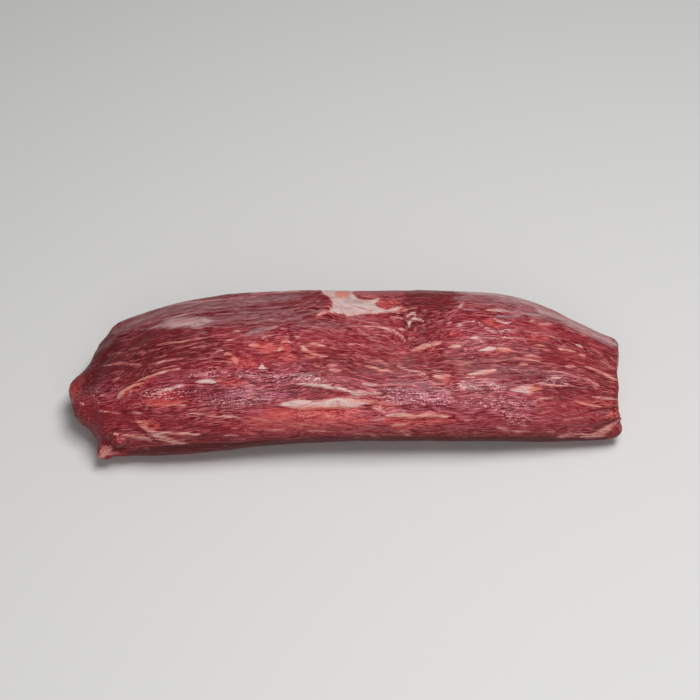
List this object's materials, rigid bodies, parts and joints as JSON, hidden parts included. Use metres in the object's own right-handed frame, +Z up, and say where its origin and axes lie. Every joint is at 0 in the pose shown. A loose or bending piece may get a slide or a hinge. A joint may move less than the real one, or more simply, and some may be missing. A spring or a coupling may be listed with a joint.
{
  "type": "raw beef teres major",
  "caption": "Whole trimmed raw beef shoulder muscle, long and tapered, one end cut square, with creases and a recess of fat on its crown, lying on a flat underside.",
  "frame": {"origin": "centre of the bounding box at its bottom, on the surface that the muscle lies on", "axes": "+X along the muscle towards the square-cut end, +Y from the front edge to the back, +Z up"},
  "size_m": [0.23, 0.078, 0.0432],
  "materials": {
    "raw_beef": "moist raw beef, dark red to pink along the grain, marbled with fine cream fat, with thin silvery skin and wet highlights"
  },
  "bodies": {
    "root": {"teres_major": "raw_beef"}
  },
  "joints": []
}
